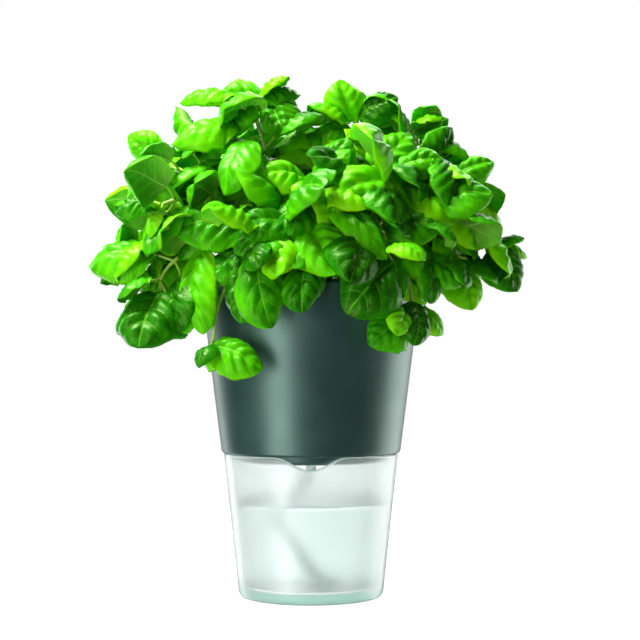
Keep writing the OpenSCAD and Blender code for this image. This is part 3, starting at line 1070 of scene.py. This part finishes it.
def add_soil():
    """The root ball with crumbs of peat, grains of perlite and roots on its sides."""
    random = np.random.default_rng(11)
    low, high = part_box("soil")
    parts = [soil_surface(low, high)]
    kinds = [0] * len(parts[0][1])
    corners, crumb_faces = icosahedron()
    for k in range(CRUMBS):
        is_perlite = k % CRUMBS_PER_PERLITE == 0
        reach = (high.x - 2 * MM) * math.sqrt(random.random())
        turn = random.random() * 2 * math.pi
        size = random.uniform(0.5, 1.5 if is_perlite else 1.9) * MM
        centre = (reach * math.cos(turn), reach * math.sin(turn), high.z - 0.9 * MM + 0.25 * size)
        parts.append((crumb(centre, size, corners, k), crumb_faces))
        kinds += [int(is_perlite)] * len(crumb_faces)
    piece = add_piece("root_ball", *joined(parts), "plant", "potting_soil",
                      [soil_material(), perlite_material()], ["soil"])
    piece.data.polygons.foreach_set("material_index", kinds)
    add_roots(lambda z: high.x - SOIL_TAPER * (high.z - z) - 0.35 * MM, low.z, high.z)


# ---- Basil ----


def add_stem(shoot, centres, radii, feet, material):
    """One stem: slightly square, tapered, and swollen where its leaves grow."""
    keys = path_lengths(centres)
    path = even_path(centres, 1.3 * MM)
    run = path_lengths(path)
    along = run / run[-1] * keys[-1]
    thick = np.interp(along, keys, radii)
    for foot in feet:
        at_foot = along[np.argmin(np.linalg.norm(path - foot, axis=1))]
        thick = thick * (1 + 0.16 * np.exp(-((along - at_foot) / (1.7 * MM)) ** 2))
    thick = thick * (1 - 0.55 * smoothstep(along[-1] - 1.5 * MM, along[-1], along))
    angle = ring_angles(16)
    twist = (along / along[-1] * 0.8)[:, None]
    reach = thick[:, None] * (1 + 0.05 * np.cos(4 * (angle + twist)))
    add_piece(f"basil_stem_{shoot}", *tube_mesh(path, reach), "plant", "basil_stem",
              [material], [f"stem_{shoot}"])


def blade_half_width(u):
    """The outline of a basil blade: rounded at the heel, with a short point."""
    rounded = np.sqrt(1 - np.abs(2 * np.clip(u, 0, 1) ** 0.85 - 1) ** 2.3)
    return rounded * (1 + 0.012 * np.sin(2 * np.pi * 13 * u))


def leaf_habit(random):
    """One leaf's random numbers. Its reliefs are shares of its half width."""
    return {
        "curl": random.uniform(0.95, 1.5),
        "sway": 0.10 * random.normal(),
        "twist": 0.22 * random.normal(),
        "pucker": random.uniform(0.05, 0.11),
        "groove": random.uniform(0.08, 0.14),
        "ruffle": random.uniform(0.02, 0.07),
        "waves": random.uniform(1.2, 2.6),
        "start": random.random(),
        "chance": random.random()}


def leaf_relief(u, v, habit):
    """How far the blade rises above a plain dome: puckers between the veins."""
    off_rib = np.abs(v)
    start = habit["start"]
    phase = (u - VEIN_SWEEP * off_rib ** VEIN_CURVE) * VEINS_A_SIDE
    at_vein = (0.5 + 0.5 * np.cos(2 * np.pi * phase)) ** 1.3
    reach = np.sin(np.pi * np.clip(off_rib, 0, 1) ** 0.75) ** 0.7
    body = np.sin(np.pi * np.clip(u, 0, 1)) ** 0.45
    pillow = habit["pucker"] * (1 - at_vein) * reach * body
    groove = habit["groove"] * np.exp(-((v / 0.17) ** 2)) * body
    wave = np.sin(2 * np.pi * (habit["waves"] * u + start) + 1.7 * np.sign(v))
    ruffle = habit["ruffle"] * off_rib ** 3 * wave
    lumps = 0.025 * np.sin(9 * u + 7 * v + start * 9) * np.sin(5 * u - 8 * v + start * 5)
    return pillow - groove + ruffle + lumps


def leaf_spine(leaf, habit, u, length):
    """The spine, side and up vectors of each ring of a leaf, whose place along it is
    -1 at the stem, 0 at the heel of the blade and 1 at the tip."""
    stalk_length = np.linalg.norm(leaf["centres"][0] - leaf["foot"])
    stretch = max(1.0, length / max(stalk_length, 1e-4))
    keys = np.concatenate([[-1.0], BLADE_STATIONS * stretch])
    at = np.where(u < 0, u, u * keys[-1])
    spine = smooth_curve(keys, np.concatenate([[leaf["foot"]], leaf["centres"]]), at)
    ups = smooth_curve(keys, np.concatenate([leaf["ups"][:1], leaf["ups"]]), at)
    cad_sides = smooth_curve(keys, np.concatenate([leaf["sides"][:1], leaf["sides"]]), at)
    ways = unit(np.gradient(spine, axis=0))
    ups = unit(ups - np.sum(ups * ways, axis=1, keepdims=True) * ways)
    sides = np.cross(ways, ups)
    sides = unit(sides) * np.sign(np.sum(sides * cad_sides, axis=1, keepdims=True))
    on_blade = np.clip(u, 0, 1)[:, None]
    twist = habit["twist"] * on_blade
    turned = np.cos(twist) * sides + np.sin(twist) * ups
    ups = np.cos(twist) * ups - np.sin(twist) * sides
    sway = habit["sway"] * length * np.sin(np.pi * on_blade / 2) ** 2
    spine = spine + turned * sway * 0.5
    return spine[:, None], turned[:, None], ups[:, None]


def skin_normals(middle, ups, on_blade):
    """The way out of a leaf's upper side, which is plain up along its stalk."""
    normals = unit(np.cross(np.gradient(middle, axis=1), np.gradient(middle, axis=0)))
    facing = np.sign(np.sum(normals * ups, axis=2, keepdims=True))
    normals = normals * np.where(facing == 0, 1, facing)
    return unit(blend(ups, normals, on_blade[..., None]))


def whole_ring(above, below):
    """The rows of a leaf's upper side, each closed into a ring by its underside."""
    return np.concatenate([above, below[:, -2:0:-1]], axis=1)


def leaf_mesh(leaf, random):
    """A closed skin over a stalk and its blade, read from one CAD leaf.
    Returns its rings of points, each point's place on the leaf, and 1 if on top."""
    habit = leaf_habit(random)
    length = path_lengths(leaf["centres"])[-1]
    small = length < SMALL_LEAF
    half_ring = 14 if small else 24
    blade_rows = 20 if small else 40
    stalk_rows = 4 if small else 6
    stalk_radius = 0.62 * MM if small else 0.78 * MM
    u = np.concatenate([np.linspace(-1, 0, stalk_rows, endpoint=False),
                        np.linspace(0, 1, blade_rows) ** 0.94])
    spine, sides, ups = leaf_spine(leaf, habit, u, length)

    # The place across runs from -1 to 1. It is close to even on the blade, and
    # follows half a circle on the stalk.
    u = u[:, None]
    on_blade = smoothstep(0.0, 0.12, u)
    turn = np.pi * np.arange(half_ring + 1) / half_ring
    even = 2 * turn / np.pi - 1
    even = np.sign(even) * np.abs(even) ** 1.12
    v = blend(-np.cos(turn), even, on_blade)

    curl = habit["curl"]
    width = leaf["half_width"] * 0.98 * curl / math.sin(curl)
    half = np.sqrt((width * blade_half_width(u)) ** 2 + (stalk_radius * 0.9) ** 2)
    roll = curl * np.clip(u * 6, 0, 1) + 1e-3
    x = half * np.sin(roll * v) / roll
    dome = -half * (1 - np.cos(roll * v)) / roll
    relief = width * np.where(u > 0, leaf_relief(u, v, habit), 0.0)
    rise = dome + relief * np.clip(half / width, 0, 1)
    middle = spine + x[..., None] * sides + rise[..., None] * ups
    normals = skin_normals(middle, ups, on_blade)

    edge = np.sqrt(np.clip(1 - v ** 2, 0, 1))
    thin = BLADE_THICKNESS / 2 * np.clip(edge * 1.5, 0, 1)
    rib = 0.75 * stalk_radius * np.clip(1 - u, 0, 1) * np.exp(-((x / (0.9 * MM)) ** 2))
    flat = smoothstep(0.0, 0.14, u)
    top = middle + blend(stalk_radius * edge, thin, flat)[..., None] * normals
    under = middle - blend(stalk_radius * edge, thin + rib, flat)[..., None] * normals

    points = whole_ring(top, under)
    across = whole_ring(v, v)
    parts = [np.broadcast_to(u, across.shape), across, np.full_like(across, habit["chance"])]
    upper = whole_ring(np.ones_like(v), np.zeros_like(v))
    return points, np.stack(parts, axis=-1), upper


def add_leaves(shoot, leaves, material, seed):
    """All the leaves of one shoot, as one piece."""
    random = np.random.default_rng(seed)
    skins = []
    places = []
    uppers = []
    for leaf in leaves:
        points, place_on_leaf, upper = leaf_mesh(leaf, random)
        skins.append((points.reshape(-1, 3), flipped(tube_faces(*upper.shape))))
        places.append(place_on_leaf.reshape(-1, 3))
        uppers.append(upper.ravel())
    piece = add_piece(f"basil_leaves_{shoot}", *joined(skins), "plant", "basil_leaf",
                      [material], [f"leaves_{shoot}"])
    set_attribute(piece, "leaf", np.concatenate(places))
    set_attribute(piece, "upper", np.concatenate(uppers))


def add_basil():
    """Every shoot: its stem, and its leaves on their stalks."""
    stem_green = stem_material()
    leaf_green = leaf_material()
    for number in range(SHOOTS):
        shoot = f"{number + 1:02d}"
        centres, radii = stem_line(f"stem_{shoot}")
        line = even_path(centres, 1 * MM)
        leaves = cad_leaves(f"leaves_{shoot}", line)
        feet = [leaf["foot"] for leaf in leaves]
        add_stem(shoot, centres, radii, feet, stem_green)
        add_leaves(shoot, leaves, leaf_green, seed=100 + number)


# ---- The scene ----

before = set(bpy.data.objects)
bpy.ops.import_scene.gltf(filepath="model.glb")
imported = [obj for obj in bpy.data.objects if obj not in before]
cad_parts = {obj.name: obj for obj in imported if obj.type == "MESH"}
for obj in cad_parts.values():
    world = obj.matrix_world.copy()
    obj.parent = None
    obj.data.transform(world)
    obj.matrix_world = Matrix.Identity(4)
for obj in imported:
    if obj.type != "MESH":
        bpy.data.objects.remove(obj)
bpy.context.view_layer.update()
glass_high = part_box("glass_reservoir")[1]

bpy.context.scene.view_settings.view_transform = "Standard"
add_camera()
add_wick()
add_world()
add_lights()
add_floor()
add_ceramic_pot()
add_glass_reservoir()
add_water()
dress_nursery_pot()
add_soil()
add_basil()
